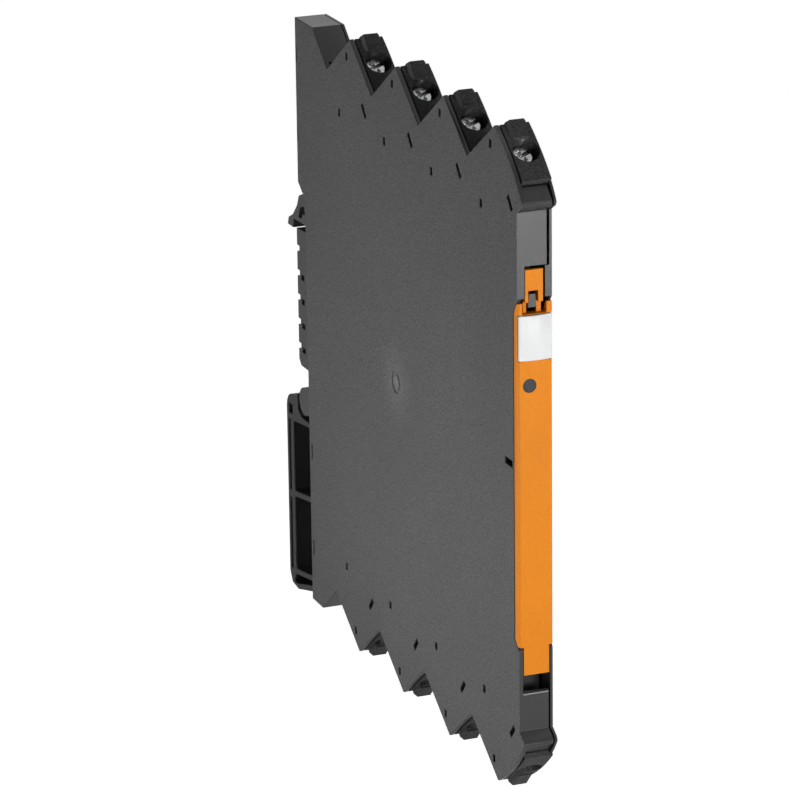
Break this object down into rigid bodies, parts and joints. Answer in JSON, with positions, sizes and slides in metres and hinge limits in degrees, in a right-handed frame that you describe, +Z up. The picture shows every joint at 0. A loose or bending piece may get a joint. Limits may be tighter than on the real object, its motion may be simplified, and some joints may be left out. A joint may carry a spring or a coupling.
{
  "type": "signal isolator",
  "caption": "Slim rail-mounted signal isolator: dark grey housing with stepped screw terminals above and below, a hinged orange front flap and a sliding rail foot",
  "frame": {"origin": "the middle of the mounting rail's front face, in the middle of the module's width", "axes": "+X across the width from the near side to the far side, along the rail; -Y out of the front, away from the rail; +Z up"},
  "size_m": [0.006, 0.114, 0.1134],
  "materials": {
    "housing_plastic": "fine-grained moulded dark grey",
    "foot_plastic": "fine-grained moulded dark grey",
    "terminal_plastic": "smooth moulded charcoal",
    "flap_plastic": "satin moulded orange",
    "tag_plastic": "smooth white",
    "lens_plastic": "smoked, smooth",
    "led_plastic": "clear water-white",
    "board_laminate": "green solder mask",
    "ferrite": "ground ferrite",
    "winding_tape": "wrapped film tape",
    "chip_plastic": "moulded black",
    "can_metal": "drawn can",
    "contact_metal": "stamped, bright",
    "switch_plastic": "moulded red",
    "slider_plastic": "moulded white",
    "screw_metal": "bright zinc plating",
    "yoke_metal": "zinc-plated steel",
    "bar_metal": "tinned copper alloy"
  },
  "bodies": {
    "frame": {"housing": "housing_plastic", "far_cover": "housing_plastic", "circuit_board": "board_laminate", "transformer_core": "ferrite", "transformer_winding": "winding_tape", "isolation_chips": "chip_plastic", "capacitors": "can_metal", "bus_contacts": "contact_metal", "setting_switch": "switch_plastic", "indicator_led": "led_plastic", "terminal_block_1": "terminal_plastic", "terminal_block_2": "terminal_plastic", "terminal_block_3": "terminal_plastic", "terminal_block_4": "terminal_plastic", "terminal_block_5": "terminal_plastic", "terminal_block_6": "terminal_plastic", "terminal_block_7": "terminal_plastic", "terminal_block_8": "terminal_plastic", "current_bar_1": "bar_metal", "current_bar_2": "bar_metal", "current_bar_3": "bar_metal", "current_bar_4": "bar_metal", "current_bar_5": "bar_metal", "current_bar_6": "bar_metal", "current_bar_7": "bar_metal", "current_bar_8": "bar_metal"},
    "flap": {"front_flap": "flap_plastic", "marker_tag": "tag_plastic", "indicator_lens": "lens_plastic"},
    "foot": {"rail_foot": "foot_plastic"},
    "slider_1": {"switch_slider_1": "slider_plastic"},
    "slider_2": {"switch_slider_2": "slider_plastic"},
    "slider_3": {"switch_slider_3": "slider_plastic"},
    "slider_4": {"switch_slider_4": "slider_plastic"},
    "screw_1": {"terminal_screw_1": "screw_metal"},
    "yoke_1": {"clamp_yoke_1": "yoke_metal"},
    "screw_2": {"terminal_screw_2": "screw_metal"},
    "yoke_2": {"clamp_yoke_2": "yoke_metal"},
    "screw_3": {"terminal_screw_3": "screw_metal"},
    "yoke_3": {"clamp_yoke_3": "yoke_metal"},
    "screw_4": {"terminal_screw_4": "screw_metal"},
    "yoke_4": {"clamp_yoke_4": "yoke_metal"},
    "screw_5": {"terminal_screw_5": "screw_metal"},
    "yoke_5": {"clamp_yoke_5": "yoke_metal"},
    "screw_6": {"terminal_screw_6": "screw_metal"},
    "yoke_6": {"clamp_yoke_6": "yoke_metal"},
    "screw_7": {"terminal_screw_7": "screw_metal"},
    "yoke_7": {"clamp_yoke_7": "yoke_metal"},
    "screw_8": {"terminal_screw_8": "screw_metal"},
    "yoke_8": {"clamp_yoke_8": "yoke_metal"}
  },
  "joints": [
    {"name": "flap_hinge", "type": "hinge", "parent": "frame", "child": "flap", "pos_m": [0, -0.1035, -0.0305], "axis": [1, 0, 0], "range_deg": [0, 110]},
    {"name": "foot_slide", "type": "slide", "parent": "frame", "child": "foot", "axis": [0, 0, -1], "range_m": [0, 0.0035]},
    {"name": "slider_1_slide", "type": "slide", "parent": "frame", "child": "slider_1", "axis": [1, 0, 0], "range_m": [0, 0.0009]},
    {"name": "slider_2_slide", "type": "slide", "parent": "frame", "child": "slider_2", "axis": [1, 0, 0], "range_m": [0, 0.0009]},
    {"name": "slider_3_slide", "type": "slide", "parent": "frame", "child": "slider_3", "axis": [1, 0, 0], "range_m": [0, 0.0009]},
    {"name": "slider_4_slide", "type": "slide", "parent": "frame", "child": "slider_4", "axis": [1, 0, 0], "range_m": [0, 0.0009]},
    {"name": "screw_1_turn", "type": "hinge", "parent": "frame", "child": "screw_1", "pos_m": [0.00007, -0.09879, 0.05254], "axis": [0, 0.6101, -0.7923], "range_deg": [0, 960.5]},
    {"name": "yoke_1_slide", "type": "slide", "parent": "frame", "child": "yoke_1", "axis": [0, -0.6101, 0.7923], "range_m": [0, 0.0012]},
    {"name": "screw_2_turn", "type": "hinge", "parent": "frame", "child": "screw_2", "pos_m": [0.00007, -0.07724, 0.05254], "axis": [0, 0.6101, -0.7923], "range_deg": [0, 960.5]},
    {"name": "yoke_2_slide", "type": "slide", "parent": "frame", "child": "yoke_2", "axis": [0, -0.6101, 0.7923], "range_m": [0, 0.0012]},
    {"name": "screw_3_turn", "type": "hinge", "parent": "frame", "child": "screw_3", "pos_m": [0.00007, -0.05569, 0.05254], "axis": [0, 0.6101, -0.7923], "range_deg": [0, 960.5]},
    {"name": "yoke_3_slide", "type": "slide", "parent": "frame", "child": "yoke_3", "axis": [0, -0.6101, 0.7923], "range_m": [0, 0.0012]},
    {"name": "screw_4_turn", "type": "hinge", "parent": "frame", "child": "screw_4", "pos_m": [0.00007, -0.03414, 0.05254], "axis": [0, 0.6101, -0.7923], "range_deg": [0, 960.5]},
    {"name": "yoke_4_slide", "type": "slide", "parent": "frame", "child": "yoke_4", "axis": [0, -0.6101, 0.7923], "range_m": [0, 0.0012]},
    {"name": "screw_5_turn", "type": "hinge", "parent": "frame", "child": "screw_5", "pos_m": [0.00007, -0.09879, -0.04834], "axis": [0, 0.6101, 0.7923], "range_deg": [0, 960.5]},
    {"name": "yoke_5_slide", "type": "slide", "parent": "frame", "child": "yoke_5", "axis": [0, -0.6101, -0.7923], "range_m": [0, 0.0012]},
    {"name": "screw_6_turn", "type": "hinge", "parent": "frame", "child": "screw_6", "pos_m": [0.00007, -0.07724, -0.04834], "axis": [0, 0.6101, 0.7923], "range_deg": [0, 960.5]},
    {"name": "yoke_6_slide", "type": "slide", "parent": "frame", "child": "yoke_6", "axis": [0, -0.6101, -0.7923], "range_m": [0, 0.0012]},
    {"name": "screw_7_turn", "type": "hinge", "parent": "frame", "child": "screw_7", "pos_m": [0.00007, -0.05569, -0.04834], "axis": [0, 0.6101, 0.7923], "range_deg": [0, 960.5]},
    {"name": "yoke_7_slide", "type": "slide", "parent": "frame", "child": "yoke_7", "axis": [0, -0.6101, -0.7923], "range_m": [0, 0.0012]},
    {"name": "screw_8_turn", "type": "hinge", "parent": "frame", "child": "screw_8", "pos_m": [0.00007, -0.03414, -0.04834], "axis": [0, 0.6101, 0.7923], "range_deg": [0, 960.5]},
    {"name": "yoke_8_slide", "type": "slide", "parent": "frame", "child": "yoke_8", "axis": [0, -0.6101, -0.7923], "range_m": [0, 0.0012]}
  ],
  "couplings": [
    {"joint": "screw_1_turn", "follows": "yoke_1_slide", "rad_per_m": 13963},
    {"joint": "screw_2_turn", "follows": "yoke_2_slide", "rad_per_m": 13963},
    {"joint": "screw_3_turn", "follows": "yoke_3_slide", "rad_per_m": 13963},
    {"joint": "screw_4_turn", "follows": "yoke_4_slide", "rad_per_m": 13963},
    {"joint": "screw_5_turn", "follows": "yoke_5_slide", "rad_per_m": 13963},
    {"joint": "screw_6_turn", "follows": "yoke_6_slide", "rad_per_m": 13963},
    {"joint": "screw_7_turn", "follows": "yoke_7_slide", "rad_per_m": 13963},
    {"joint": "screw_8_turn", "follows": "yoke_8_slide", "rad_per_m": 13963}
  ]
}
